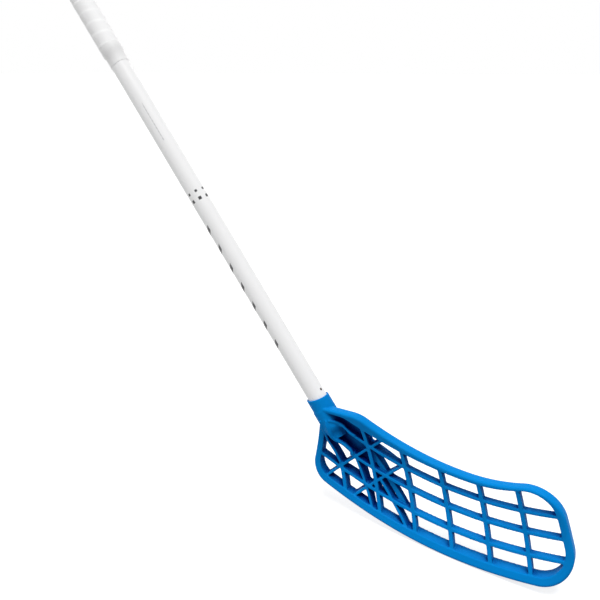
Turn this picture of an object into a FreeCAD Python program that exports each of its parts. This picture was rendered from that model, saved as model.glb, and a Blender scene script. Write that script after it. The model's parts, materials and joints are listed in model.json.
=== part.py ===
import FreeCAD, Part
import os
import Sketcher
from FreeCAD import Placement, Rotation, Vector

# Floorball stick in its playing position: the sole of the blade rests on the floor at z = 0 and the
# shaft leans back over the heel. The shaft axis lies in the XZ plane and meets the floor at the origin.
# The blade's open (forehand) side faces -Y and its toe points along +X.
doc = FreeCAD.newDocument("floorball_stick")

# Driving sizes, in millimetres and degrees
sizes = {
    # Shaft and how it stands
    "lie": 54,                      # shaft's angle above the floor
    "collar_distance": 158.8,       # origin to the socket's upper rim, along the shaft axis
    "shaft_diameter": 21,
    "shaft_wall": 1.8,
    "shaft_length": 830,
    "socket_depth": 32,             # how far the shaft goes into the blade
    # Socket neck of the blade
    "glue_thickness": 0.25,
    "glue_length": 27,
    "collar_wall": 1.75,
    "collar_slant": 11,             # upper rim stands higher on the heel's side
    "collar_length": 14,            # upper stretch, thinner than the rest of the neck
    "collar_step": 0.8,             # on the heel's side
    "socket_floor": 3,
    "nose_length": 15,
    "nose_end_diameter": 19,
    "nose_slope": 22,               # slope that runs from the neck's front down into the lattice
    # Grip
    "grip_length": 357,
    "grip_thickness": 1.5,
    "band_on_shaft": 15,            # stretch of the finishing band below the wrap
    "band_on_grip": 9,              # stretch of the finishing band that lies on the wrap
    "band_slope": 3,
    "band_thickness": 0.4,
    # End cap
    "cap_head_height": 6,
    "cap_head_inset": 0.3,          # head's edge inside the wrap's surface
    "cap_edge_radius": 2.5,
    "cap_plug_length": 32,
    "cap_clearance": 0.1,
    # Blade screws
    "screw_diameter": 3.2,
    "screw_length": 8,
    "screw_head_diameter": 6.4,
    "screw_head_height": 2.2,
    "screw_slot_width": 0.9,
    "screw_slot_length": 3.6,
    "screw_slot_depth": 1.3,
    "screw_clearance": 0.1,
    "upper_screw_drop": 9,          # below the socket's upper rim
    "lower_screw_drop": 22,
    "boss_diameter": 9,
    "boss_height": 1.6,
    # Curved face of the blade
    "face_offset": 5,               # how far the face lies in front of the shaft axis
    "scoop_radius": 170,
    "scoop_height": 74.7,
    "scoop_angle": 50,              # the face is swept this far up and down
    "hook_radius": 1520,
    "hook_angle": 60,
    "hook_start": -43,
    # Outline of the blade
    "sole_radius": 430,
    "sole_low_x": 77,
    "top_low_x": 80,
    "top_low_z": 89.7,
    "top_heel_radius": 233,
    "top_toe_radius": 138,
    "shoulder_height": 122.7,
    "heel_x": -99.3,                # heel and toe edges where they would reach the floor
    "heel_tilt": 7,
    "toe_x": 205.5,
    "toe_tilt": 20.6,
    "heel_corner": 25,
    "sole_corner": 34.5,
    "toe_corner": 32.5,
    "shoulder_corner": 30,
    # Rim
    "rim_depth": 11.5,
    "rim_rounding": 2.5,
    "sole_rim": 9.2,
    "top_rim": 5.2,
    "top_rim_heel_radius": 300,
    "top_rim_toe_radius": 122,
    "heel_rim": 7.5,
    "toe_rim": 7.5,
    # Ribs and bars
    "grid_recess": 0.6,             # front faces behind the rim's
    "grid_depth": 8.3,
    "bracing_recess": 1.2,
    "bracing_depth": 16,            # at its deepest place
    "bracing_least_depth": 11,      # where it runs out to the rim
    "bracing_dome": 130,            # radius of the domed back, which dies away towards the rim
    "bracing_dome_x": -36,
    "bracing_dome_z": 74,
    "rib_low_x": 78,
    "rib_width": 3.6,
    "upper_rib_height": 68.2,
    "upper_rib_radius": 290,
    "middle_rib_height": 47.8,
    "middle_rib_radius": 350,
    "middle_rib_start": -50,        # a strut from the neck takes over on the heel's side
    "lower_rib_height": 26.6,
    "lower_rib_radius": 390,
    "bar_count": 6,
    "heel_bar_count": 2,            # bars on the heel's side of the deep bracing's end
    "first_bar_x": -57.2,           # bars, braces and webs are placed where they cross the middle rib
    "bar_pitch": 40,
    "bar_lean": 17,
    "bar_width": 4.3,
    "heel_bar_high": 58,            # the first bar stops at the strut that comes down from the neck
    # Bracing of the heel, with deep copies of the ribs and bars there
    "deep_width": 2.4,
    "brace_width": 3.1,
    "brace_slope": 45,
    "rear_brace_x": -65.3,
    "rear_brace_low": 28.7,
    "rear_brace_high": 108.7,
    "front_brace_x": -17.3,
    "front_brace_low": 14.7,
    "front_brace_high": 94.7,
    "web_width": 3,
    "steep_web_x": -32.3,
    "steep_web_lean": 27,
    "steep_web_low": 12.7,
    "steep_web_high": 75,
    "heel_strut_x": -54.3,
    "heel_strut_lean": 33,
    "heel_strut_low": 55,
    "heel_strut_high": 105,
    "neck_strut_x": -4.9,
    "neck_strut_lean": 59,
    "neck_strut_low": 71,
    "neck_strut_high": 92,
    "slant_web_lean": 42,
    "upper_web_width": 6,
    "upper_web_recess": 4.5,        # lies behind the others
    "upper_web_x": 2.2,
    "upper_web_low": 30.7,
    "upper_web_high": 89.7,
    "lower_web_x": -8.7,
    "lower_web_low": 8.7,
    "lower_web_high": 53.7,
    "gusset_front": 8.2,            # plate that closes the bays beside the neck at the back
    "gusset_back": 10.2,
    # Where the face ends inside the neck
    "face_end_height": 132,         # along the shaft axis
    "face_end_offset": 4,           # from the shaft axis, to the toe's side
    # Blocks that trim the blade
    "block_front": 90,
    "block_depth": 140,
    "block_size": 500,
}

sheet = doc.addObject("Spreadsheet::Sheet", "dim")
for row, (alias, value) in enumerate(sizes.items(), start=1):
    sheet.set(f"A{row}", alias)
    sheet.set(f"B{row}", str(value))
    sheet.setAlias(f"B{row}", alias)
doc.recompute()

# Lengths that several pieces share
collar_diameter = "(dim.shaft_diameter + 2 * dim.glue_thickness + 2 * dim.collar_wall)"
bore_diameter = "(dim.shaft_diameter + 2 * dim.glue_thickness)"
grip_diameter = "(dim.shaft_diameter + 2 * dim.grip_thickness)"
pressed_diameter = f"({grip_diameter} - 2 * dim.band_thickness)"
hole_diameter = "(dim.screw_diameter + 2 * dim.screw_clearance)"
shaft_bottom = "(dim.collar_distance - dim.socket_depth)"
shaft_top = f"({shaft_bottom} + dim.shaft_length)"
grip_bottom = f"({shaft_top} - dim.grip_length)"
screw_seat = f"({collar_diameter} / 2 + dim.boss_height)"
neck_diameter = f"({collar_diameter} + dim.collar_step)"
screw_heights = {
    "upper": "(dim.collar_distance - dim.upper_screw_drop)",
    "lower": "(dim.collar_distance - dim.lower_screw_drop)",
}
along_y = Rotation(Vector(1, 0, 0), -90)
heel_quarter = Rotation(Vector(0, 1, 0), 90).multiply(along_y)


def bind(item, expressions):
    for prop, expression in expressions.items():
        item.setExpression(prop, expression)
    return item


def solid(kind, name, expressions, rotation=Rotation()):
    item = doc.addObject(kind, name)
    item.Placement = Placement(Vector(0, 0, 0), rotation)
    return bind(item, expressions)


def cut(name, base, tool):
    item = doc.addObject("Part::Cut", name)
    item.Base = base
    item.Tool = tool
    return item


def common(name, first, second):
    item = doc.addObject("Part::Common", name)
    item.Base = first
    item.Tool = second
    return item


def fused(name, items):
    item = doc.addObject("Part::MultiFuse", name)
    item.Shapes = items
    return item


def joined(name, first, second):
    item = doc.addObject("Part::Fuse", name)
    item.Base = first
    item.Tool = second
    return item


def leaned(item):
    # Pieces of the shaft line are drawn with z along the shaft axis and then leaned back
    item.Placement = Placement(Vector(0, 0, 0), Rotation(Vector(0, -1, 0), 36))
    item.setExpression("Placement.Rotation.Angle", "90 - dim.lie")
    return item


def sketch(body, name, role):
    item = body.newObject("Sketcher::SketchObject", name)
    support = next(feature for feature in body.Origin.OriginFeatures if feature.Role == role)
    item.AttachmentSupport = [(support, "")]
    item.MapMode = "FlatFace"
    return item


def add_circle(item, diameter, height="0"):
    index = item.addGeometry(Part.Circle(Vector(0, 1, 0), Vector(0, 0, 1), 5))
    item.addConstraint(Sketcher.Constraint("PointOnObject", index, 3, -2))
    place = item.addConstraint(Sketcher.Constraint("DistanceY", -1, 1, index, 3, 1))
    width = item.addConstraint(Sketcher.Constraint("Diameter", index, 10))
    item.setExpression(f"Constraints[{place}]", height)
    item.setExpression(f"Constraints[{width}]", diameter)


def add_pad(body, name, start, length, diameters):
    ring = sketch(body, f"{name}_ring", "XY_Plane")
    ring.setExpression("AttachmentOffset.Base.z", start)
    for diameter in diameters:
        add_circle(ring, diameter)
    pad = body.newObject("PartDesign::Pad", f"{name}_pad")
    pad.Profile = ring
    pad.setExpression("Length", length)
    return pad


def add_screw_holes(body, name):
    # Both screws come in from the back of the blade
    holes = sketch(body, f"{name}_screw_circles", "XZ_Plane")
    for height in screw_heights.values():
        add_circle(holes, hole_diameter, height)
    pocket = body.newObject("PartDesign::Pocket", f"{name}_screw_holes")
    pocket.Profile = holes
    pocket.setExpression("Length", "dim.shaft_diameter")


def make_shaft():
    body = doc.addObject("PartDesign::Body", "shaft")
    bore = "dim.shaft_diameter - 2 * dim.shaft_wall"
    add_pad(body, "shaft", shaft_bottom, "dim.shaft_length", ["dim.shaft_diameter", bore])
    add_screw_holes(body, "shaft")
    return leaned(body)


def make_glue():
    body = doc.addObject("PartDesign::Body", "socket_glue")
    add_pad(body, "glue", shaft_bottom, "dim.glue_length", [bore_diameter, "dim.shaft_diameter"])
    add_screw_holes(body, "glue")
    return leaned(body)


def make_grip():
    body = doc.addObject("PartDesign::Body", "grip_tape")
    add_pad(body, "pressed", grip_bottom, "dim.band_on_grip", [pressed_diameter, "dim.shaft_diameter"])
    add_pad(body, "grip", f"{grip_bottom} + dim.band_on_grip", "dim.grip_length - dim.band_on_grip",
            [grip_diameter, "dim.shaft_diameter"])
    return leaned(body)


def rod(name, diameter, start, length):
    return solid("Part::Cylinder", name, {
        "Radius": f"{diameter} / 2", "Height": length, "Placement.Base.z": start})


def make_band():
    # Thin tape that presses the lower end of the wrap in by its own thickness and slopes down onto the shaft
    shaft_radius = "(dim.shaft_diameter / 2 + dim.band_thickness)"
    grip_radius = f"({grip_diameter} / 2)"
    lower_end = f"{grip_bottom} - dim.band_on_shaft"
    lower = rod("band_on_shaft", f"2 * {shaft_radius}", lower_end, "dim.band_on_shaft")
    upper = rod("band_on_grip", f"2 * {grip_radius}", grip_bottom, "dim.band_on_grip")
    slope = solid("Part::Cone", "band_slope", {
        "Radius1": shaft_radius, "Radius2": grip_radius, "Height": "dim.band_slope",
        "Placement.Base.z": f"{grip_bottom} - dim.band_slope"})
    bore = rod("band_bore", "dim.shaft_diameter", lower_end, "dim.band_on_shaft")
    seat = rod("band_seat", pressed_diameter, grip_bottom, "dim.band_on_grip")
    outside = fused("band_outside", [lower, slope, upper])
    return leaned(cut("grip_end_band", outside, fused("band_inside", [bore, seat])))


def make_cap():
    body = doc.addObject("PartDesign::Body", "end_cap")
    plug_diameter = "dim.shaft_diameter - 2 * dim.shaft_wall - 2 * dim.cap_clearance"
    add_pad(body, "plug", f"{shaft_top} - dim.cap_plug_length", "dim.cap_plug_length", [plug_diameter])
    head_diameter = f"{grip_diameter} - 2 * dim.cap_head_inset"
    head = add_pad(body, "head", shaft_top, "dim.cap_head_height", [head_diameter])
    doc.recompute()
    top = max(range(len(head.Shape.Edges)), key=lambda index: head.Shape.Edges[index].CenterOfMass.z)
    rounding = body.newObject("PartDesign::Fillet", "cap_edge")
    rounding.Base = (head, [f"Edge{top + 1}"])
    rounding.setExpression("Radius", "dim.cap_edge_radius")
    return leaned(body)


def radial_rod(name, diameter, start, length, height):
    # A rod square to the shaft axis, from start outwards to the back
    return solid("Part::Cylinder", name, {
        "Radius": f"{diameter} / 2", "Height": length,
        "Placement.Base.y": start, "Placement.Base.z": height}, along_y)


def make_screw(name):
    height = screw_heights[name]
    head = radial_rod(f"{name}_head", "dim.screw_head_diameter", screw_seat, "dim.screw_head_height", height)
    shank = radial_rod(f"{name}_shank", "dim.screw_diameter", f"({screw_seat} - dim.screw_length)",
                       "dim.screw_length", height)
    slot_floor = f"{screw_seat} + dim.screw_head_height - dim.screw_slot_depth"
    slots = []
    for turn, (wide, tall) in enumerate([("width", "length"), ("length", "width")]):
        slots.append(solid("Part::Box", f"{name}_slot_{turn}", {
            "Length": f"dim.screw_slot_{wide}", "Height": f"dim.screw_slot_{tall}",
            "Width": "dim.screw_slot_depth",
            "Placement.Base.x": f"-dim.screw_slot_{wide} / 2", "Placement.Base.y": slot_floor,
            "Placement.Base.z": f"{height} - dim.screw_slot_{tall} / 2"}))
    pieces = fused(f"{name}_pieces", [head, shank])
    return leaned(cut(f"{name}_blade_screw", pieces, fused(f"{name}_cross", slots)))


def disc(name, radius, x, z, rotation=along_y, angle="360"):
    # A round block through the blade from front to back
    return solid("Part::Cylinder", name, {
        "Radius": radius, "Height": "dim.block_depth", "Angle": angle, "Placement.Base.x": x,
        "Placement.Base.y": "-dim.block_front", "Placement.Base.z": z}, rotation)


def block(name, expressions):
    return solid("Part::Box", name, {
        "Length": "dim.block_size", "Width": "dim.block_depth", "Height": "dim.block_size",
        "Placement.Base.y": "-dim.block_front", **expressions})


def tilted(item, axis, angle):
    item.Placement = Placement(item.Placement.Base, Rotation(axis, 10))
    item.setExpression("Placement.Rotation.Angle", angle)
    return item


def side_corner(shape, rank):
    # The edge from front to back that comes first in the given ranking of its x and z
    best = None
    for index, edge in enumerate(shape.Edges, start=1):
        ends = [vertex.Point for vertex in edge.Vertexes]
        if len(ends) == 2 and ends[0].distanceToLine(ends[1], Vector(0, 1, 0)) < 1e-6:
            score = rank(ends[0].x, ends[0].z)
            if best is None or score > best[0]:
                best = (score, index)
    return best[1]


def make_outline(name, part):
    # A thick plate with the blade's side outline; part holds what differs between rim and window
    plate = disc(f"{name}_sole", part["sole_radius"], "dim.sole_low_x", "dim.sole_radius")
    heel = block(f"{name}_heel", {"Placement.Base.x": part["heel_x"]})
    tilted(heel, Vector(0, 1, 0), "dim.heel_tilt")
    plate = common(f"{name}_from_heel", plate, heel)
    toe = block(f"{name}_toe", {
        "Placement.Base.x": f"{part['toe_x']} - dim.block_size * cos(dim.toe_tilt)",
        "Placement.Base.z": "-dim.block_size * sin(dim.toe_tilt)"})
    tilted(toe, Vector(0, -1, 0), "dim.toe_tilt")
    plate = common(f"{name}_to_toe", plate, toe)
    below = block(f"{name}_shoulder", {
        "Placement.Base.x": "-dim.block_size / 2",
        "Placement.Base.z": f"{part['shoulder']} - dim.block_size"})
    plate = common(f"{name}_below_shoulder", plate, below)
    for side, rotation in {"heel": heel_quarter, "toe": along_y}.items():
        radius = part[f"top_{side}_radius"]
        centre = f"{part['top_z']} + {radius}"
        curve = disc(f"{name}_top_{side}", radius, "dim.top_low_x", centre, rotation, "90")
        plate = cut(f"{name}_under_{side}", plate, curve)
    doc.recompute()
    low = plate.Shape.BoundBox.ZMin
    corners = {
        "heel_corner": lambda x, z: -x - z,
        "sole_corner": lambda x, z: x - z,
        "toe_corner": lambda x, z: x + z,
        "shoulder_corner": lambda x, z: x + 100 * (z - low),
    }
    rounded = doc.addObject("Part::Fillet", f"{name}_outline")
    rounded.Base = plate
    edges = []
    for corner, rank in corners.items():
        radius = sizes[corner] - part["corner_inset"]
        edges.append((side_corner(plate.Shape, rank), radius, radius))
    rounded.Edges = edges
    return rounded


def scoop(name, depth):
    # Everything in front of the blade's curved face, or of a face that lies deeper by the given depth
    item = solid("Part::Torus", name, {
        "Radius1": "dim.hook_radius - dim.scoop_radius", "Radius2": f"dim.scoop_radius + {depth}",
        "Angle1": "-dim.scoop_angle", "Angle2": "dim.scoop_angle", "Angle3": "dim.hook_angle",
        "Placement.Base.x": "dim.hook_start", "Placement.Base.y": "-dim.face_offset - dim.hook_radius",
        "Placement.Base.z": "dim.scoop_height"})
    return tilted(item, Vector(0, 0, 1), "90 - dim.hook_angle / 2")


def strip(name, place):
    # A straight band through the blade, placed where it crosses the middle rib's height
    lean = place["lean"]
    run = f"(dim.middle_rib_height - {place['low']}) * tan({lean})"
    item = solid("Part::Box", name, {
        "Length": place["width"], "Width": "dim.block_depth",
        "Height": f"({place['high']} - {place['low']}) / cos({lean})",
        "Placement.Base.y": "-dim.block_front"})
    sign = "-" if place["to_toe"] else "+"
    other = "+" if place["to_toe"] else "-"
    bind(item, {
        "Placement.Base.x": f"{place['x']} {sign} {run} - {place['width']} / 2 * cos({lean})",
        "Placement.Base.z": f"{place['low']} {other} {place['width']} / 2 * sin({lean})"})
    return tilted(item, Vector(0, 1 if place["to_toe"] else -1, 0), lean)


def make_ribs(prefix, width):
    ribs = []
    for name in ("upper", "middle", "lower"):
        radius = f"dim.{name}_rib_radius"
        centre = f"dim.{name}_rib_height + {radius}"
        outside = disc(f"{prefix}_{name}_outside", f"{radius} + {width} / 2", "dim.rib_low_x", centre)
        inside = disc(f"{prefix}_{name}_inside", f"{radius} - {width} / 2", "dim.rib_low_x", centre)
        ribs.append(cut(f"{prefix}_{name}", outside, inside))
    toe_side = block(f"{prefix}_toe_side", {
        "Placement.Base.x": "dim.middle_rib_start", "Placement.Base.z": "-dim.block_size / 2"})
    ribs[1] = common(f"{prefix}_middle_run", ribs[1], toe_side)
    return ribs


def make_bars(prefix, width, count):
    bars = []
    for index in range(count):
        bars.append(strip(f"{prefix}_{index + 1}", {
            "x": f"dim.first_bar_x + {index} * dim.bar_pitch", "lean": "dim.bar_lean", "width": width,
            "low": "0", "high": "dim.shoulder_height" if index else "dim.heel_bar_high", "to_toe": False}))
    return bars


def make_bracing():
    leans = {
        "rear_brace": ("dim.brace_slope", "dim.brace_width", True),
        "front_brace": ("dim.brace_slope", "dim.brace_width", True),
        "steep_web": ("dim.steep_web_lean", "dim.web_width", False),
        "heel_strut": ("dim.heel_strut_lean", "dim.web_width", False),
        "neck_strut": ("dim.neck_strut_lean", "dim.rib_width", False),
        "lower_web": ("dim.slant_web_lean", "dim.web_width", False),
        "upper_web": ("dim.slant_web_lean", "dim.upper_web_width", False),
    }
    return [strip(name, {
        "x": f"dim.{name}_x", "low": f"dim.{name}_low", "high": f"dim.{name}_high",
        "lean": lean, "width": width, "to_toe": to_toe})
        for name, (lean, width, to_toe) in leans.items()]


def make_neck():
    floor_bottom = f"({shaft_bottom} - dim.socket_floor)"
    step = "(dim.collar_distance - dim.collar_length)"
    collar = rod("collar", collar_diameter, step, "2 * dim.collar_length")
    sleeve = rod("sleeve", neck_diameter, floor_bottom, f"{step} - {floor_bottom}")
    nose = solid("Part::Cone", "nose", {
        "Radius1": "dim.nose_end_diameter / 2", "Radius2": f"{neck_diameter} / 2",
        "Height": "dim.nose_length", "Placement.Base.z": f"{floor_bottom} - dim.nose_length"})
    for item in (sleeve, nose):
        item.setExpression("Placement.Base.x", "-dim.collar_step / 2")
    bosses = [radial_rod(f"{name}_boss", "dim.boss_diameter", "0", screw_seat, height)
              for name, height in screw_heights.items()]
    above = solid("Part::Box", "above_collar", {
        "Length": "dim.block_size", "Width": "dim.block_size", "Height": "dim.block_size",
        "Placement.Base.x": "-dim.block_size / 2 * cos(dim.collar_slant)",
        "Placement.Base.y": "-dim.block_size / 2",
        "Placement.Base.z": "dim.collar_distance + dim.block_size / 2 * sin(dim.collar_slant)"})
    tilted(above, Vector(0, 1, 0), "dim.collar_slant")
    slope_sine = "sin(dim.nose_slope)"
    slope_cosine = "cos(dim.nose_slope)"
    slope = solid("Part::Box", "front_slope", {
        "Length": "dim.block_size", "Width": "dim.block_size", "Height": "dim.block_size",
        "Placement.Base.x": "-dim.block_size / 2",
        "Placement.Base.y": f"-{neck_diameter} / 2 - dim.block_size * ({slope_cosine} - {slope_sine})",
        "Placement.Base.z": f"{floor_bottom} - dim.block_size * ({slope_cosine} + {slope_sine})"})
    tilted(slope, Vector(1, 0, 0), "dim.nose_slope")
    whole = fused("neck_solid", [collar, sleeve, nose] + bosses)
    outside = leaned(cut("neck_outside", cut("neck_below_rim", whole, above), slope))
    socket = rod("socket", bore_diameter, shaft_bottom, "dim.collar_distance")
    holes = [radial_rod(f"{name}_boss_hole", hole_diameter, "0", f"2 * {screw_seat}", height)
             for name, height in screw_heights.items()]
    inside = leaned(fused("neck_inside", [socket] + holes))
    return outside, inside


def inset_outline(name, share):
    # The outline drawn in by a share of the rim's width
    return make_outline(name, {
        "sole_radius": f"dim.sole_radius - {share} * dim.sole_rim",
        "heel_x": f"dim.heel_x + {share} * dim.heel_rim / cos(dim.heel_tilt)",
        "toe_x": f"dim.toe_x - {share} * dim.toe_rim / cos(dim.toe_tilt)",
        "shoulder": f"dim.shoulder_height - {share} * dim.top_rim",
        "top_z": f"dim.top_low_z - {share} * dim.top_rim",
        "top_heel_radius": f"(1 - {share}) * dim.top_heel_radius + {share} * dim.top_rim_heel_radius",
        "top_toe_radius": f"(1 - {share}) * dim.top_toe_radius + {share} * dim.top_rim_toe_radius",
        "corner_inset": share * sizes["toe_rim"]})


def layer(name, outline, front, back):
    # The slice of an outline between two faces
    return common(f"{name}_layer", outline, cut(f"{name}_shell", back, front))


def rounded_rim(slab):
    # The slab's long edges at front and back
    doc.recompute()
    rounding = doc.addObject("Part::Fillet", "rim_rounded")
    rounding.Base = slab
    edges = []
    for index, edge in enumerate(slab.Shape.Edges, start=1):
        faces = slab.Shape.ancestorsOfType(edge, Part.Face)
        if any(isinstance(face.Surface, Part.Toroid) for face in faces):
            edges.append((index, sizes["rim_rounding"], sizes["rim_rounding"]))
    rounding.Edges = edges
    return rounding


def heel_side(name, bar_number):
    # Everything on the heel's side of a cross bar's middle
    foot = f"dim.first_bar_x + ({bar_number}) * dim.bar_pitch + dim.middle_rib_height * tan(dim.bar_lean)"
    item = block(name, {
        "Placement.Base.x": f"{foot} - dim.block_size * cos(dim.bar_lean)",
        "Placement.Base.z": "-dim.block_size * sin(dim.bar_lean)"})
    return tilted(item, Vector(0, -1, 0), "dim.bar_lean")


def make_gusset(roots):
    above_rib = disc("above_middle_rib", "dim.middle_rib_radius", "dim.rib_low_x",
                     "dim.middle_rib_height + dim.middle_rib_radius")
    bays = common("gusset_bays", above_rib, heel_side("gusset_zone", "dim.heel_bar_count - 1"))
    front = scoop("gusset_front", "dim.gusset_front")
    back = scoop("gusset_back", "dim.gusset_back")
    return common("gusset", layer("gusset", roots, front, back), bays)


def make_blade():
    plate = inset_outline("plate", 0)
    roots = inset_outline("roots", 0.5)
    window = inset_outline("window", 1)
    slab = layer("rim", plate, scoop("rim_front", "0"), scoop("rim_back", "dim.rim_depth"))
    rim = cut("rim", rounded_rim(slab), window)
    pattern = fused("grid_pattern", make_ribs("rib", "dim.rib_width") + make_bars(
        "bar", "dim.bar_width", sizes["bar_count"]))
    grid_front = scoop("grid_front", "dim.grid_recess")
    grid_slab = layer("grid", roots, grid_front, scoop("grid_back", "dim.grid_depth"))
    grid = common("grid", grid_slab, pattern)
    deep = make_ribs("deep_rib", "dim.deep_width") + make_bars(
        "deep_bar", "dim.deep_width", sizes["heel_bar_count"] + 1)
    *bracing, upper_web = make_bracing()
    zone = heel_side("heel_zone", "dim.heel_bar_count")
    dome = solid("Part::Sphere", "bracing_dome", {
        "Radius": "dim.bracing_dome", "Placement.Base.x": "dim.bracing_dome_x",
        "Placement.Base.y": "dim.bracing_depth - dim.face_offset - dim.bracing_dome",
        "Placement.Base.z": "dim.bracing_dome_z"})
    heel_back = joined("heel_back", dome, scoop("bracing_back", "dim.bracing_least_depth"))
    heel_slab = layer("heel", roots, scoop("heel_front", "dim.bracing_recess"), heel_back)
    heel = common("heel", heel_slab, common("bracing", zone, fused("bracing_pattern", deep + bracing)))
    sunk_slab = layer("sunk", roots, scoop("sunk_front", "dim.upper_web_recess"), heel_back)
    sunk_web = common("sunk_web", sunk_slab, common("upper_web_in_heel", zone, upper_web))
    lattice = joined("lattice", joined("grid_and_heel", grid, heel), make_gusset(roots))
    face = joined("face", rim, joined("lattice_and_web", lattice, sunk_web))
    end = leaned(solid("Part::Box", "face_end", {
        "Length": "dim.block_size", "Width": "dim.block_size", "Height": "dim.block_size",
        "Placement.Base.x": "dim.face_end_offset * cos(90 - dim.lie) - dim.block_size * cos(90 - dim.lie)"
                            " - dim.face_end_height * sin(90 - dim.lie)",
        "Placement.Base.y": "-dim.block_size / 2",
        "Placement.Base.z": "dim.face_end_offset * sin(90 - dim.lie) - dim.block_size * sin(90 - dim.lie)"
                            " + dim.face_end_height * cos(90 - dim.lie)"}))
    neck_outside, neck_inside = make_neck()
    body = joined("blade_body", cut("face_to_neck", face, end), neck_outside)
    return cut("blade", body, neck_inside)


parts = [make_shaft(), make_glue(), make_grip(), make_band(), make_cap()]
parts += [make_screw(name) for name in screw_heights]
parts.append(make_blade())
doc.recompute()

for item in doc.Objects:
    if "Invalid" in item.State or "Error" in item.State:
        raise RuntimeError(f"{item.Label} failed: {item.State}")
for item in parts:
    if item.Shape.isNull() or not item.Shape.isValid():
        raise RuntimeError(f"{item.Label} has no valid shape")
    print(item.Label, len(item.Shape.Solids), "solid", round(item.Shape.Volume), "mm3")

os.makedirs("parts", exist_ok=True)
for item in parts:
    item.Shape.exportStep(os.path.join("parts", f"{item.Label}.step"))
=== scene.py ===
import json
import math

import bmesh
import bpy
from mathutils import Matrix, Vector

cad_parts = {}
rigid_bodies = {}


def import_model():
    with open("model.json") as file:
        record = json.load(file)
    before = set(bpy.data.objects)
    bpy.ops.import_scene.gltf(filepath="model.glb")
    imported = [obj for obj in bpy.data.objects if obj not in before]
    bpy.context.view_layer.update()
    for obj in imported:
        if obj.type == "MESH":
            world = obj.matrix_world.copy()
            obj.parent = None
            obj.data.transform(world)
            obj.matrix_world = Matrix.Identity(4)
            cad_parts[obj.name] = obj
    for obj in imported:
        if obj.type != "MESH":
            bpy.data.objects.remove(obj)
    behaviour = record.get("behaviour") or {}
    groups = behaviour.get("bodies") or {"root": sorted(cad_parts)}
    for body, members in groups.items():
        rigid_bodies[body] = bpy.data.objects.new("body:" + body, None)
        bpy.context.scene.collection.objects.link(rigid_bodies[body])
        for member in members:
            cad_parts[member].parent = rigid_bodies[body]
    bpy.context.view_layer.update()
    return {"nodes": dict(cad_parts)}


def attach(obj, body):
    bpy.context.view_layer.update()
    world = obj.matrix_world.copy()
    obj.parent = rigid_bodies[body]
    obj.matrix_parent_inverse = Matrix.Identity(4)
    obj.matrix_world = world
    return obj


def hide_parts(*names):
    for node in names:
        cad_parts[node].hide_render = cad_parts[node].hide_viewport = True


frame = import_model()
scene = bpy.context.scene
scene.view_settings.view_transform = "Standard"

# The shaft leans back over the heel; distances along it count from the point where it meets the floor
lean = math.radians(36)
leanBack = Matrix.Rotation(-lean, 4, "Y")
shaftAxis = Vector((-math.sin(lean), 0, math.cos(lean)))
wallTolerance = 1e-5         # a point this near to a wall's radius is on that wall
mergeDistance = 1e-6


def addNode(tree, kind, **settings):
    node = tree.nodes.new(kind)
    for name, value in settings.items():
        setattr(node, name, value)
    return node


def feed(tree, socket, value):
    if isinstance(value, bpy.types.NodeSocket):
        tree.links.new(value, socket)
    else:
        socket.default_value = value


def calc(tree, operation, *values, clamp=False):
    node = addNode(tree, "ShaderNodeMath", operation=operation, use_clamp=clamp)
    for socket, value in zip(node.inputs, values):
        feed(tree, socket, value)
    return node.outputs[0]


def vectorCalc(tree, operation, *values):
    node = addNode(tree, "ShaderNodeVectorMath", operation=operation)
    for socket, value in zip(node.inputs, values):
        feed(tree, socket, value)
    return node.outputs[0]


def within(tree, value, centre, halfWidth):
    # 1 where the value is nearer to the centre than the half width
    offset = calc(tree, "ABSOLUTE", calc(tree, "SUBTRACT", value, centre))
    return calc(tree, "LESS_THAN", offset, halfWidth)


def mixColour(tree, factor, first, second):
    # The node's sockets for numbers and vectors come before those for colours
    node = addNode(tree, "ShaderNodeMix", data_type="RGBA")
    feed(tree, node.inputs[0], factor)
    feed(tree, node.inputs[6], first)
    feed(tree, node.inputs[7], second)
    return node.outputs[2]


def newGroup(name, kind, inputs, outputs):
    group = bpy.data.node_groups.new(name, kind)
    for direction, sockets in (("INPUT", inputs), ("OUTPUT", outputs)):
        for label, socketType in sockets.items():
            group.interface.new_socket(name=label, in_out=direction, socket_type=f"NodeSocket{socketType}")
    return group, addNode(group, "NodeGroupInput").outputs, addNode(group, "NodeGroupOutput").inputs


def addGroup(tree, group, **values):
    node = addNode(tree, "ShaderNodeGroup", node_tree=group)
    for label, value in values.items():
        feed(tree, node.inputs[label], value)
    return node.outputs


def makeGrainGroup():
    # Fine moulded grain, and broad patches that vary tone and gloss
    group, given, result = newGroup("surfaceGrain", "ShaderNodeTree", {"Fine": "Float", "Broad": "Float"},
                                    {"Grain": "Float", "Patches": "Float"})
    place = addNode(group, "ShaderNodeTexCoord").outputs["Object"]
    for label, scale, detail in (("Grain", "Fine", 3), ("Patches", "Broad", 5)):
        noise = addNode(group, "ShaderNodeTexNoise")
        feed(group, noise.inputs["Vector"], place)
        feed(group, noise.inputs["Scale"], given[scale])
        noise.inputs["Detail"].default_value = detail
        group.links.new(noise.outputs[0], result[label])
    return group


def makeShaftPlaceGroup():
    # Distance along the shaft and angle round it, 0 on the toe's side
    group, _, result = newGroup("shaftPlace", "ShaderNodeTree", {}, {"Along": "Float", "Angle": "Float"})
    upright = addNode(group, "ShaderNodeMapping")
    upright.inputs["Rotation"].default_value = (0, lean, 0)
    group.links.new(addNode(group, "ShaderNodeTexCoord").outputs["Object"], upright.inputs["Vector"])
    split = addNode(group, "ShaderNodeSeparateXYZ")
    group.links.new(upright.outputs[0], split.inputs[0])
    group.links.new(split.outputs["Z"], result["Along"])
    group.links.new(calc(group, "ARCTAN2", split.outputs["Y"], split.outputs["X"]), result["Angle"])
    return group


surfaceGrain = makeGrainGroup()
shaftPlace = makeShaftPlaceGroup()


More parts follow.
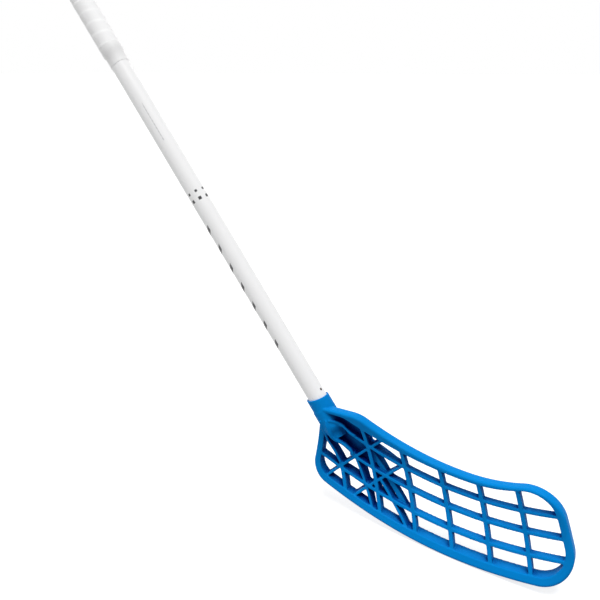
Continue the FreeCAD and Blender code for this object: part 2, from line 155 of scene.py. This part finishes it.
def newMaterial(name, finish):
    # A principled surface whose tone, gloss and bump follow the grain; returns what marks are laid over
    material = bpy.data.materials.new(name)
    material.use_nodes = True
    tree = material.node_tree
    tree.nodes.clear()
    shader = addNode(tree, "ShaderNodeBsdfPrincipled")
    tree.links.new(shader.outputs[0], addNode(tree, "ShaderNodeOutputMaterial").inputs["Surface"])
    grain = addGroup(tree, surfaceGrain, Fine=finish["grainScale"], Broad=finish["patchScale"])
    tone = mixColour(tree, grain["Patches"], (*finish["colour"], 1), (*finish["shade"], 1))
    gloss = addNode(tree, "ShaderNodeMapRange")
    feed(tree, gloss.inputs["Value"], grain["Patches"])
    gloss.inputs["To Min"].default_value, gloss.inputs["To Max"].default_value = finish["roughness"]
    bump = addNode(tree, "ShaderNodeBump")
    bump.inputs["Strength"].default_value = finish["bump"]
    bump.inputs["Distance"].default_value = finish["grainDepth"]
    tree.links.new(grain["Grain"], bump.inputs["Height"])
    tree.links.new(tone, shader.inputs["Base Color"])
    tree.links.new(gloss.outputs[0], shader.inputs["Roughness"])
    tree.links.new(bump.outputs[0], shader.inputs["Normal"])
    for label, value in finish.get("fixed", {}).items():
        shader.inputs[label].default_value = value
    return {"material": material, "tree": tree, "shader": shader, "tone": tone, "gloss": gloss.outputs[0]}


def newPiece(name, mesh, material):
    piece = bpy.data.objects.new(name, mesh)
    scene.collection.objects.link(piece)
    piece.data.materials.clear()
    piece.data.materials.append(material)
    return piece


def smoothShade(mesh, angle):
    mesh.polygons.foreach_set("use_smooth", [True] * len(mesh.polygons))
    mesh.set_sharp_from_angle(angle=math.radians(angle))


def bakeModifiers(piece):
    # The evaluated piece becomes its plain mesh, and its modifiers go
    scene.view_layers[0].update()
    finished = piece.evaluated_get(bpy.context.evaluated_depsgraph_get())
    mesh = bpy.data.meshes.new_from_object(finished)
    piece.modifiers.clear()
    spare = piece.data
    piece.data = mesh
    mesh.name = piece.name
    bpy.data.meshes.remove(spare)


def arc(centre, radius, start, end, steps):
    turns = [math.radians(start + (end - start) * step / steps) for step in range(steps + 1)]
    return [(centre[0] + radius * math.cos(turn), centre[1] + radius * math.sin(turn)) for turn in turns]


def stretch(radius, low, high, spacing):
    # Points up a straight wall at an even spacing, both ends included
    count = max(1, round(abs(high - low) / spacing))
    return [(radius, low + (high - low) * step / count) for step in range(count + 1)]


def lathe(name, profile, sides, closed):
    # Turns a profile of (radius, height) about the z axis; a closed profile returns to its first point
    shape = bmesh.new()
    rings = []
    for radius, height in profile:
        if radius == 0:
            rings.append([shape.verts.new((0, 0, height))] * sides)
        else:
            turns = [2 * math.pi * side / sides for side in range(sides)]
            rings.append([shape.verts.new((radius * math.cos(turn), radius * math.sin(turn), height))
                          for turn in turns])
    pairs = list(zip(rings, rings[1:]))
    if closed:
        pairs.append((rings[-1], rings[0]))
    for lower, upper in pairs:
        for side in range(sides):
            after = (side + 1) % sides
            corners = dict.fromkeys((lower[side], lower[after], upper[after], upper[side]))
            shape.faces.new(list(corners))
    bmesh.ops.recalc_face_normals(shape, faces=shape.faces)
    mesh = bpy.data.meshes.new(name)
    shape.to_mesh(mesh)
    shape.free()
    return mesh


def makeWindingTree():
    # Cuts a helix into the wall at the given radius: laps of a tape, or the thread of a screw
    group, given, result = newGroup(
        "helicalWinding", "GeometryNodeTree",
        {"Geometry": "Geometry", "Radius": "Float", "Pitch": "Float", "Depth": "Float",
         "Edge share": "Float", "Material": "Material"},
        {"Geometry": "Geometry"})
    place = addNode(group, "GeometryNodeInputPosition").outputs[0]
    split = addNode(group, "ShaderNodeSeparateXYZ")
    group.links.new(place, split.inputs[0])
    flat = addNode(group, "ShaderNodeCombineXYZ")
    group.links.new(split.outputs["X"], flat.inputs["X"])
    group.links.new(split.outputs["Y"], flat.inputs["Y"])
    length = addNode(group, "ShaderNodeVectorMath", operation="LENGTH")
    group.links.new(flat.outputs[0], length.inputs[0])
    radius = length.outputs["Value"]
    turn = calc(group, "DIVIDE", calc(group, "ARCTAN2", split.outputs["Y"], split.outputs["X"]), 2 * math.pi)
    laps = calc(group, "DIVIDE", split.outputs["Z"], given["Pitch"])
    phase = calc(group, "FRACT", calc(group, "ADD", laps, turn))
    rise = calc(group, "DIVIDE", phase, calc(group, "SUBTRACT", 1, given["Edge share"]))
    fall = calc(group, "DIVIDE", calc(group, "SUBTRACT", 1, phase), given["Edge share"])
    level = calc(group, "SUBTRACT", calc(group, "MINIMUM", rise, fall), 1)
    onWall = calc(group, "COMPARE", radius, given["Radius"], wallTolerance)
    change = calc(group, "MULTIPLY", calc(group, "MULTIPLY", level, given["Depth"]), onWall)
    outward = addNode(group, "ShaderNodeVectorMath", operation="SCALE")
    feed(group, outward.inputs[0], vectorCalc(group, "NORMALIZE", flat.outputs[0]))
    feed(group, outward.inputs["Scale"], change)
    move = addNode(group, "GeometryNodeSetPosition")
    group.links.new(given["Geometry"], move.inputs["Geometry"])
    group.links.new(outward.outputs[0], move.inputs["Offset"])
    real = addNode(group, "GeometryNodeRealizeInstances")
    paint = addNode(group, "GeometryNodeSetMaterial")
    group.links.new(move.outputs[0], real.inputs[0])
    group.links.new(real.outputs[0], paint.inputs["Geometry"])
    group.links.new(given["Material"], paint.inputs["Material"])
    group.links.new(paint.outputs[0], result["Geometry"])
    return group


def makeSofteningTree():
    # Rounds every edge of a finely divided solid and gives back the thickness that smoothing takes
    group, given, result = newGroup(
        "mouldedEdges", "GeometryNodeTree",
        {"Geometry": "Geometry", "Passes": "Int", "Give back": "Float", "Material": "Material"},
        {"Geometry": "Geometry"})

    def blurred(value):
        node = addNode(group, "GeometryNodeBlurAttribute", data_type="FLOAT_VECTOR")
        entry = next(socket for socket in node.inputs if socket.name == "Value" and socket.enabled)
        feed(group, entry, value)
        feed(group, node.inputs["Iterations"], given["Passes"])
        return next(socket for socket in node.outputs if socket.enabled)

    soft = blurred(addNode(group, "GeometryNodeInputPosition").outputs[0])
    lost = addNode(group, "ShaderNodeVectorMath", operation="SCALE")
    feed(group, lost.inputs[0], vectorCalc(group, "SUBTRACT", soft, blurred(soft)))
    feed(group, lost.inputs["Scale"], given["Give back"])
    move = addNode(group, "GeometryNodeSetPosition")
    group.links.new(given["Geometry"], move.inputs["Geometry"])
    group.links.new(vectorCalc(group, "ADD", soft, lost.outputs[0]), move.inputs["Position"])
    shade = addNode(group, "GeometryNodeSetShadeSmooth")
    real = addNode(group, "GeometryNodeRealizeInstances")
    paint = addNode(group, "GeometryNodeSetMaterial")
    group.links.new(move.outputs[0], shade.inputs["Geometry"])
    group.links.new(shade.outputs[0], real.inputs[0])
    group.links.new(real.outputs[0], paint.inputs["Geometry"])
    group.links.new(given["Material"], paint.inputs["Material"])
    group.links.new(paint.outputs[0], result["Geometry"])
    return group


def addTree(piece, tree, **values):
    modifier = piece.modifiers.new(tree.name, "NODES")
    modifier.node_group = tree
    for item in tree.interface.items_tree:
        if item.in_out == "INPUT" and item.name in values:
            modifier[item.identifier] = values[item.name]


helicalWinding = makeWindingTree()
mouldedEdges = makeSofteningTree()
print("node trees: grain, shaft place, winding, moulded edges")

# Camera, floor and light
studio = {
    "azimuth": 29.705,
    "elevation": 19.8,
    "place": (0.20194, -0.5562, 0.4685),
    "lens": 38.4,
    "sensor": 36,
    "floorTone": 0.4,
    "floorGlow": 0.75,       # added for the camera alone, so the bare floor is white
    "floorHalf": 60,
    "floorLevel": -0.0002,   # just under the sole
    "clipStart": 0.01,
    "ambient": 0.24,
    "lamps": {               # direction towards each lamp, its strength and how wide it looks
        "keyLamp": {"from": (0.12, -0.20, 0.97), "strength": 2.9, "spread": 30},
        "sideLamp": {"from": (0.75, 0.45, 0.50), "strength": 0.2, "spread": 60},
        "backLamp": {"from": (-0.45, 0.80, 0.40), "strength": 0.8, "spread": 70},
        "fillLamp": {"from": (-0.80, -0.45, 0.40), "strength": 1.0, "spread": 70},
    },
}


def seenDirectly(tree):
    # 1 for the camera and for what shiny or clear things show
    path = addNode(tree, "ShaderNodeLightPath").outputs
    shown = calc(tree, "MAXIMUM", path["Is Camera Ray"], path["Is Glossy Ray"])
    return calc(tree, "MAXIMUM", shown, path["Is Transmission Ray"])


def makeStudio():
    across, up = math.radians(studio["azimuth"]), math.radians(studio["elevation"])
    backward = Vector((math.sin(across) * math.cos(up), -math.cos(across) * math.cos(up), math.sin(up)))
    lensData = bpy.data.cameras.new("photoCamera")
    lensData.lens = studio["lens"]
    lensData.sensor_width = studio["sensor"]
    lensData.clip_start = studio["clipStart"]
    camera = bpy.data.objects.new("photoCamera", lensData)
    camera.location = studio["place"]
    camera.rotation_euler = (-backward).to_track_quat("-Z", "Y").to_euler()
    scene.collection.objects.link(camera)
    scene.camera = camera

    world = bpy.data.worlds.new("studioWorld")
    world.use_nodes = True
    scene.world = world
    tree = world.node_tree
    tree.nodes.clear()
    sky = addNode(tree, "ShaderNodeBackground")
    strength = addNode(tree, "ShaderNodeMapRange")
    feed(tree, strength.inputs["Value"], seenDirectly(tree))
    strength.inputs["To Min"].default_value = studio["ambient"]
    sky.inputs["Color"].default_value = (1, 1, 1, 1)
    tree.links.new(strength.outputs[0], sky.inputs["Strength"])
    tree.links.new(sky.outputs[0], addNode(tree, "ShaderNodeOutputWorld").inputs["Surface"])

    floorMaterial = bpy.data.materials.new("paleFloor")
    floorMaterial.use_nodes = True
    tree = floorMaterial.node_tree
    tree.nodes.clear()
    matt = addNode(tree, "ShaderNodeBsdfDiffuse")
    matt.inputs["Color"].default_value = (*[studio["floorTone"]] * 3, 1)
    glow = addNode(tree, "ShaderNodeEmission")
    tree.links.new(calc(tree, "MULTIPLY", seenDirectly(tree), studio["floorGlow"]), glow.inputs["Strength"])
    both = addNode(tree, "ShaderNodeAddShader")
    tree.links.new(matt.outputs[0], both.inputs[0])
    tree.links.new(glow.outputs[0], both.inputs[1])
    tree.links.new(both.outputs[0], addNode(tree, "ShaderNodeOutputMaterial").inputs["Surface"])
    half, level = studio["floorHalf"], studio["floorLevel"]
    mesh = bpy.data.meshes.new("floor")
    corners = [(-half, -half, level), (half, -half, level), (half, half, level), (-half, half, level)]
    mesh.from_pydata(corners, [], [(0, 1, 2, 3)])
    newPiece("floor", mesh, floorMaterial)

    for name, lamp in studio["lamps"].items():
        data = bpy.data.lights.new(name, "SUN")
        data.energy = lamp["strength"]
        data.angle = math.radians(lamp["spread"])
        item = bpy.data.objects.new(name, data)
        item.rotation_euler = (-Vector(lamp["from"])).to_track_quat("-Z", "Y").to_euler()
        scene.collection.objects.link(item)
    print("studio: camera, floor,", len(studio["lamps"]), "lamps")


makeStudio()

# Blade: one moulding of soft polyethylene
blade = {
    "voxel": 0.0004,
    "passes": 14,
    "giveBack": 0.8,
    "mostTriangles": 190000,
    "finish": {
        "colour": (0.001, 0.21, 0.60), "shade": (0.001, 0.192, 0.54), "roughness": (0.36, 0.46),
        "grainScale": 900, "grainDepth": 0.00006, "bump": 0.25, "patchScale": 14,
        "fixed": {"Specular IOR Level": 0.02},
    },
    # Painted shade: enclosed corners and pockets are mixed towards this dark navy
    "paintedShadeColour": (0.0, 0.016, 0.17, 1),
    "paintedShadeReach": 0.022,      # how far away a wall still adds painted shade to a corner
    "paintedShadeSamples": 8,
    "paintedShadeFrom": 0.9,         # openness at which the painted shade starts, and at which it is full
    "paintedShadeTo": 0.4,
    "ridgeSides": 24,
    "dent": {"centre": (-0.0605, -0.0078, 0.0965), "reach": (0.010, 0.009, 0.009), "depth": 0.006},
    "ridges": {              # points and radii, in millimetres, of the folds from the neck into the ribs
        "upper": ((-73.5, -11.7, 109.5, 1.2), (-67.2, -8.3, 109.0, 2.0), (-62.9, -6.1, 107.3, 2.2),
                  (-58.4, -5.9, 105.4, 2.2), (-55.3, -5.7, 102.2, 2.2), (-49.7, -5.5, 98.9, 2.0),
                  (-43.7, -5.3, 96.6, 1.6)),
        "middle": ((-76.3, -12.3, 109.6, 1.2), (-74.1, -12.7, 102.8, 2.0), (-72.1, -11.6, 96.4, 2.4),
                   (-70.1, -9.3, 90.6, 2.6), (-67.0, -7.3, 86.7, 2.6), (-61.4, -5.7, 84.5, 2.5),
                   (-55.3, -5.3, 81.9, 2.4), (-49.1, -5.1, 78.0, 2.2), (-46.0, -4.9, 72.6, 1.8)),
        "lower": ((-82.5, -12.7, 107.2, 1.0), (-81.5, -11.6, 100.9, 1.4), (-79.0, -8.2, 91.5, 1.6),
                  (-75.8, -6.2, 81.8, 1.7), (-71.6, -5.9, 76.7, 1.7), (-67.2, -5.5, 70.4, 1.7),
                  (-60.3, -5.1, 58.0, 1.6)),
    },
}


def addRod(shape, points):
    # A round rod through points that each have a radius; it overlaps the solid it is to join
    sides = blade["ridgeSides"]
    lastTurn = 360 - 360 / sides
    places = [Vector(point[:3]) / 1000 for point in points]
    rings = []
    for number, place in enumerate(places):
        run = places[min(number + 1, len(places) - 1)] - places[max(number - 1, 0)]
        across = run.to_track_quat("Z", "Y").to_matrix()
        rings.append([shape.verts.new(place + across @ Vector((x, y, 0)))
                      for x, y in arc((0, 0), points[number][3] / 1000, 0, lastTurn, sides - 1)])
    for lower, upper in zip(rings, rings[1:]):
        for side in range(sides):
            after = (side + 1) % sides
            shape.faces.new((lower[side], lower[after], upper[after], upper[side]))
    shape.faces.new(list(reversed(rings[0])))
    shape.faces.new(rings[-1])


def pressDent(mesh):
    # The hollow between the two upper ridges
    dent = blade["dent"]
    for vertex in mesh.vertices:
        away = sum(((place - middle) / reach) ** 2
                   for place, middle, reach in zip(vertex.co, dent["centre"], dent["reach"]))
        if away < 1:
            vertex.co.y += dent["depth"] * (1 - away) ** 2


def makeBlade():
    look = newMaterial("blueMoulding", blade["finish"])
    tree = look["tree"]
    # Painted shade: where nearby walls close in a corner or pocket, the base colour is mixed towards dark
    # navy and the roughness rises
    openness = addNode(tree, "ShaderNodeAmbientOcclusion", samples=blade["paintedShadeSamples"], only_local=True)
    openness.inputs["Distance"].default_value = blade["paintedShadeReach"]
    depth = addNode(tree, "ShaderNodeMapRange")
    tree.links.new(openness.outputs["AO"], depth.inputs["Value"])
    depth.inputs["From Min"].default_value = blade["paintedShadeFrom"]
    depth.inputs["From Max"].default_value = blade["paintedShadeTo"]
    tree.links.new(mixColour(tree, depth.outputs[0], look["tone"], blade["paintedShadeColour"]),
                   look["shader"].inputs["Base Color"])
    tree.links.new(calc(tree, "MAXIMUM", look["gloss"], depth.outputs[0]),
                   look["shader"].inputs["Roughness"])
    shape = bmesh.new()
    shape.from_mesh(frame["nodes"]["blade"].data)
    bmesh.ops.remove_doubles(shape, verts=shape.verts, dist=mergeDistance)
    for points in blade["ridges"].values():
        addRod(shape, points)
    mesh = bpy.data.meshes.new("bladeMoulding")
    shape.to_mesh(mesh)
    shape.free()
    piece = newPiece("bladeMoulding", mesh, look["material"])
    remesh = piece.modifiers.new("even", "REMESH")
    remesh.mode = "VOXEL"
    remesh.voxel_size = blade["voxel"]
    addTree(piece, mouldedEdges, **{"Passes": blade["passes"], "Give back": blade["giveBack"],
                                    "Material": look["material"]})
    bakeModifiers(piece)
    triangles = 2 * len(piece.data.polygons)
    if triangles > blade["mostTriangles"]:
        thin = piece.modifiers.new("thin", "DECIMATE")
        thin.ratio = blade["mostTriangles"] / triangles
        bakeModifiers(piece)
    pressDent(piece.data)
    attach(piece, "stick")
    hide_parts("blade")
    print("blade:", triangles, "triangles before thinning,", len(piece.data.polygons), "faces kept")


makeBlade()

# Shaft: lacquered composite tube with printed marks
shaft = {
    "low": 0.1268,
    "high": 0.9568,
    "radius": 0.0105,
    "wall": 0.0018,
    "edge": 0.0003,
    "sides": 96,
    "spacing": 0.02,         # between rings of points
    "sharpAngle": 30,
    "holeSides": 24,
    "screwPlaces": (0.1498, 0.1368),
    "screwHole": 0.0017,
    "finish": {
        "colour": (0.87, 0.87, 0.87), "shade": (0.84, 0.84, 0.845), "roughness": (0.34, 0.44),
        "grainScale": 420, "grainDepth": 0.00004, "bump": 0.12, "patchScale": 9,
        "fixed": {"Coat Weight": 0.15, "Coat Roughness": 0.12},
    },
    "ink": (0.028, 0.028, 0.032, 1),
    "faintInk": (0.50, 0.50, 0.52, 1),
    "drillMark": {"along": 0.1648, "angle": -4.7, "radius": 0.0015, "colour": (0.05, 0.028, 0.02, 1)},
    "squares": {"rows": {0.4207: 0.0014, 0.4117: 0.0018}, "perTurn": 7, "angle": -48},
    "dashes": {"first": 0.231, "pitch": 0.0242, "count": 7, "half": 0.0035, "slant": 0.9, "angle": -117,
               "halfAngle": 19},
    "hairline": {"low": 0.485, "high": 0.532, "angle": -58, "half": 0.0005, "pitch": 0.0045, "share": 0.7},
}


def shaftMarks(tree, along, angle):
    radius = shaft["radius"]
    squares = shaft["squares"]
    step = 2 * math.pi / squares["perTurn"]
    turns = calc(tree, "DIVIDE", calc(tree, "SUBTRACT", angle, math.radians(squares["angle"])), step)
    nearest = calc(tree, "SUBTRACT", calc(tree, "FRACT", calc(tree, "ADD", turns, 0.5)), 0.5)
    across = calc(tree, "MULTIPLY", nearest, step * radius)
    rows = [calc(tree, "MULTIPLY", within(tree, along, place, half), within(tree, across, 0, half))
            for place, half in squares["rows"].items()]
    dashes = shaft["dashes"]
    aside = calc(tree, "SUBTRACT", angle, math.radians(dashes["angle"]))
    slanted = calc(tree, "SUBTRACT", along, calc(tree, "MULTIPLY", aside, radius * dashes["slant"]))
    place = calc(tree, "DIVIDE", calc(tree, "SUBTRACT", slanted, dashes["first"]), dashes["pitch"])
    number = calc(tree, "ROUND", place)
    gap = calc(tree, "MULTIPLY", calc(tree, "SUBTRACT", place, number), dashes["pitch"])
    middle = (dashes["count"] - 1) / 2
    column = calc(tree, "MULTIPLY", within(tree, gap, 0, dashes["half"]),
                  within(tree, aside, 0, math.radians(dashes["halfAngle"])))
    column = calc(tree, "MULTIPLY", column, within(tree, number, middle, middle + 0.5))
    ink = calc(tree, "MAXIMUM", calc(tree, "MAXIMUM", *rows), column)
    line = shaft["hairline"]
    repeat = calc(tree, "FRACT", calc(tree, "DIVIDE", along, line["pitch"]))
    broken = calc(tree, "LESS_THAN", repeat, line["share"])
    offset = calc(tree, "MULTIPLY", calc(tree, "SUBTRACT", angle, math.radians(line["angle"])), radius)
    stretchMask = within(tree, along, (line["low"] + line["high"]) / 2, (line["high"] - line["low"]) / 2)
    thin = within(tree, offset, 0, line["half"])
    faint = calc(tree, "MULTIPLY", calc(tree, "MULTIPLY", thin, broken), stretchMask)
    mark = shaft["drillMark"]
    high = calc(tree, "SUBTRACT", along, mark["along"])
    wide = calc(tree, "MULTIPLY", calc(tree, "SUBTRACT", angle, math.radians(mark["angle"])), radius)
    squared = calc(tree, "ADD", calc(tree, "MULTIPLY", high, high), calc(tree, "MULTIPLY", wide, wide))
    drilled = calc(tree, "LESS_THAN", calc(tree, "SQRT", squared), mark["radius"])
    return ink, faint, drilled


def makeShaft():
    look = newMaterial("whiteLacquer", shaft["finish"])
    tree = look["tree"]
    place = addGroup(tree, shaftPlace)
    ink, faint, drilled = shaftMarks(tree, place["Along"], place["Angle"])
    colour = mixColour(tree, faint, look["tone"], shaft["faintInk"])
    colour = mixColour(tree, ink, colour, shaft["ink"])
    colour = mixColour(tree, drilled, colour, shaft["drillMark"]["colour"])
    tree.links.new(colour, look["shader"].inputs["Base Color"])
    outer, inner, edge = shaft["radius"], shaft["radius"] - shaft["wall"], shaft["edge"]
    low, high = shaft["low"], shaft["high"]
    spacing = shaft["spacing"]
    profile = stretch(outer, low + edge, high - edge, spacing) + [(outer - edge, high), (inner + edge, high)]
    profile += stretch(inner, high - edge, low + edge, spacing) + [(inner + edge, low), (outer - edge, low)]
    piece = newPiece("shaftTube", lathe("shaftTube", profile, shaft["sides"], True), look["material"])
    for number, along in enumerate(shaft["screwPlaces"]):
        across = shaft["screwHole"]
        outline = [(0, 0), (across, 0), (across, 2 * outer), (0, 2 * outer)]
        hole = lathe("screwHole", outline, shaft["holeSides"], False)
        hole.transform(Matrix.Translation((0, 0, along)) @ Matrix.Rotation(-math.pi / 2, 4, "X"))
        drill = bpy.data.objects.new(f"drill{number}", hole)
        scene.collection.objects.link(drill)
        cut = piece.modifiers.new("cut", "BOOLEAN")
        cut.object = drill
        cut.solver = "EXACT"
    bakeModifiers(piece)
    for number in range(len(shaft["screwPlaces"])):
        bpy.data.objects.remove(bpy.data.objects[f"drill{number}"])
    piece.data.transform(leanBack)
    smoothShade(piece.data, shaft["sharpAngle"])
    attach(piece, "stick")
    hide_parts("shaft")
    print("shaft:", len(piece.data.polygons), "faces")


makeShaft()

# Grip: soft tape wound up the shaft in overlapping turns
grip = {
    "low": 0.5998,
    "pressedTo": 0.6088,     # the band lies over this end
    "high": 0.9568,
    "inner": 0.0105,
    "outer": 0.012,
    "pressedRadius": 0.0116,
    "sides": 80,
    "spacing": 0.0009,       # between rings of points
    "sharpAngle": 50,
    "pitch": 0.0135,
    "lapHeight": 0.00025,
    "edgeShare": 0.09,
    "finish": {
        "colour": (0.91, 0.91, 0.91), "shade": (0.87, 0.87, 0.875), "roughness": (0.55, 0.7),
        "grainScale": 1300, "grainDepth": 0.00005, "bump": 0.18, "patchScale": 22,
        "fixed": {"Specular IOR Level": 0.35},
    },
}


def makeGrip():
    look = newMaterial("softWrap", grip["finish"])
    profile = [(grip["inner"], grip["low"]), (grip["pressedRadius"], grip["low"]),
               (grip["pressedRadius"], grip["pressedTo"])]
    profile += stretch(grip["outer"], grip["pressedTo"], grip["high"], grip["spacing"])
    profile += [(grip["inner"], grip["high"])]
    piece = newPiece("gripWrap", lathe("gripWrap", profile, grip["sides"], True), look["material"])
    addTree(piece, helicalWinding, **{
        "Radius": grip["outer"], "Pitch": grip["pitch"], "Depth": grip["lapHeight"],
        "Edge share": grip["edgeShare"], "Material": look["material"]})
    bakeModifiers(piece)
    piece.data.transform(leanBack)
    smoothShade(piece.data, grip["sharpAngle"])
    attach(piece, "stick")
    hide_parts("grip_tape")
    print("grip:", len(piece.data.polygons), "faces")


makeGrip()

# Finishing band: thin tape that holds the wrap's lower end
band = {
    "low": 0.5848,
    "slopeStart": 0.5968,
    "gripStart": 0.5998,
    "high": 0.6088,
    "inner": 0.0105,
    "thickness": 0.0004,
    "seat": 0.0116,
    "top": 0.012,
    "sides": 96,
    "sharpAngle": 35,
    "overlap": 0.00012,      # the tape's loose end stands this far over its first turn
    "finish": {
        "colour": (0.85, 0.85, 0.85), "shade": (0.81, 0.81, 0.81), "roughness": (0.42, 0.55),
        "grainScale": 700, "grainDepth": 0.00006, "bump": 0.2, "patchScale": 30,
    },
}


def makeBand():
    look = newMaterial("bandTape", band["finish"])
    inner, thick = band["inner"], band["thickness"]
    soft = thick / 3
    profile = [(inner, band["low"]), (inner + thick - soft, band["low"]),
               (inner + thick, band["low"] + soft)]
    profile += [(inner + thick, band["slopeStart"]), (band["top"], band["gripStart"]),
                (band["top"], band["high"] - soft), (band["top"] - soft, band["high"])]
    profile += [(band["seat"], band["high"]), (band["seat"], band["gripStart"]), (inner, band["gripStart"])]
    mesh = lathe("gripBand", profile, band["sides"], True)
    for vertex in mesh.vertices:
        radius = math.hypot(vertex.co.x, vertex.co.y)
        onSeat = math.isclose(radius, band["seat"], abs_tol=mergeDistance)
        if radius > inner + thick / 2 and not onSeat:
            turn = math.atan2(vertex.co.y, vertex.co.x) / (2 * math.pi) % 1
            share = (radius - band["overlap"] * turn) / radius
            vertex.co.x *= share
            vertex.co.y *= share
    piece = newPiece("gripBand", mesh, look["material"])
    piece.data.transform(leanBack)
    smoothShade(piece.data, band["sharpAngle"])
    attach(piece, "stick")
    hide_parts("grip_end_band")
    print("band:", len(piece.data.polygons), "faces")


makeBand()

# End cap: rubber plug in the top of the tube
cap = {
    "plugLow": 0.9248,
    "seat": 0.9568,
    "high": 0.9628,
    "plugRadius": 0.0086,
    "headRadius": 0.0117,
    "edgeRadius": 0.0025,
    "edgeSteps": 10,
    "sharpAngle": 30,
    "plugChamfer": 0.001,
    "dishRadius": 0.0068,
    "dishDepth": 0.0004,
    "sides": 96,
    "finish": {
        "colour": (0.70, 0.70, 0.705), "shade": (0.64, 0.64, 0.65), "roughness": (0.5, 0.65),
        "grainScale": 1500, "grainDepth": 0.00005, "bump": 0.25, "patchScale": 40,
    },
}


def makeCap():
    look = newMaterial("capRubber", cap["finish"])
    edge = cap["edgeRadius"]
    profile = [(0, cap["plugLow"]), (cap["plugRadius"] - cap["plugChamfer"], cap["plugLow"]),
               (cap["plugRadius"], cap["plugLow"] + cap["plugChamfer"]), (cap["plugRadius"], cap["seat"])]
    profile += [(cap["headRadius"], cap["seat"])]
    profile += arc((cap["headRadius"] - edge, cap["high"] - edge), edge, 0, 90, cap["edgeSteps"])
    dish, deep = cap["dishRadius"], cap["dishDepth"]
    profile += [(dish, cap["high"]), (dish - deep, cap["high"] - deep), (0, cap["high"] - deep)]
    piece = newPiece("endCap", lathe("endCap", profile, cap["sides"], False), look["material"])
    piece.data.transform(leanBack)
    smoothShade(piece.data, cap["sharpAngle"])
    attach(piece, "cap")
    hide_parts("end_cap")
    print("end cap:", len(piece.data.polygons), "faces")


makeCap()

# Blade screws: pan heads with a cross recess, thread cut as a helix
screws = {
    "seat": 0.0141,          # distance of the head's seat from the shaft axis
    "places": {"upper": 0.1498, "lower": 0.1368},
    "headRadius": 0.0032,
    "headHeight": 0.0022,
    "headRounding": 0.0012,
    "roundingEnd": 80,       # degrees, where the flatter crown takes over
    "roundingSteps": 8,
    "length": 0.008,
    "shankRadius": 0.0016,
    "tip": 0.0018,
    "tipShare": 0.35,        # of the tip, taken up by its blunt point
    "neckGap": 0.0004,       # bare stretch under the head
    "neckShare": 0.98,
    "spacing": 0.00008,      # between rings of points on the thread
    "pitch": 0.0013,
    "threadDepth": 0.00038,
    "flankShare": 0.5,
    "sharpAngle": 35,
    "crossWidth": 0.0009,
    "crossLength": 0.0036,
    "crossDepth": 0.0013,
    "sides": 64,
    "finish": {
        "colour": (0.56, 0.57, 0.58), "shade": (0.44, 0.45, 0.46), "roughness": (0.28, 0.42),
        "grainScale": 2600, "grainDepth": 0.00003, "bump": 0.2, "patchScale": 300,
        "fixed": {"Metallic": 1.0},
    },
}


def makeScrew(name, look):
    radius, rounding, height = screws["headRadius"], screws["headRounding"], screws["headHeight"]
    shank, tip, length = screws["shankRadius"], screws["tip"], screws["length"]
    blunt = screws["tipShare"]
    crown = (radius - rounding, height - rounding)
    profile = [(0, -length), (shank * blunt, -length + tip * blunt)]
    profile += stretch(shank, -length + tip, -screws["neckGap"], screws["spacing"])
    profile += [(shank * screws["neckShare"], 0), (radius, 0)]
    profile += arc(crown, rounding, 0, screws["roundingEnd"], screws["roundingSteps"]) + [(0, height)]
    piece = newPiece(f"{name}BladeScrew", lathe("screw", profile, screws["sides"], False), look["material"])
    cross = bmesh.new()
    place = Matrix.Translation((0, 0, height))
    slot = (screws["crossWidth"], screws["crossLength"])
    for wide, tall in (slot, slot[::-1]):
        size = Matrix.Diagonal((wide, tall, 2 * screws["crossDepth"], 1))
        bmesh.ops.create_cube(cross, size=1, matrix=place @ size)
    mesh = bpy.data.meshes.new("crossRecess")
    cross.to_mesh(mesh)
    cross.free()
    tool = bpy.data.objects.new("crossRecess", mesh)
    scene.collection.objects.link(tool)
    addTree(piece, helicalWinding, **{
        "Radius": shank, "Pitch": screws["pitch"], "Depth": screws["threadDepth"],
        "Edge share": screws["flankShare"], "Material": look["material"]})
    cut = piece.modifiers.new("cross", "BOOLEAN")
    cut.object = tool
    cut.solver = "EXACT"
    cut.use_self = True
    bakeModifiers(piece)
    bpy.data.objects.remove(tool)
    piece.data.transform(Matrix.Rotation(-math.pi / 2, 4, "X"))
    piece.data.transform(Matrix.Translation(Vector((0, screws["seat"], 0))))
    piece.data.transform(leanBack)
    piece.data.transform(Matrix.Translation(shaftAxis * screws["places"][name]))
    smoothShade(piece.data, screws["sharpAngle"])
    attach(piece, f"{name}_screw")
    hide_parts(f"{name}_blade_screw")
    print(name, "screw:", len(piece.data.polygons), "faces")


screwLook = newMaterial("screwSteel", screws["finish"])
for screwName in screws["places"]:
    makeScrew(screwName, screwLook)

# Glue film in the socket keeps its CAD shape
glue = {
    "colour": (0.62, 0.56, 0.42), "shade": (0.52, 0.46, 0.33), "roughness": (0.3, 0.45),
    "grainScale": 300, "grainDepth": 0.0001, "bump": 0.4, "patchScale": 60,
}
glueNode = frame["nodes"]["socket_glue"]
glueNode.data.materials.clear()
glueNode.data.materials.append(newMaterial("hotMeltGlue", glue)["material"])
print("glue: finish set")
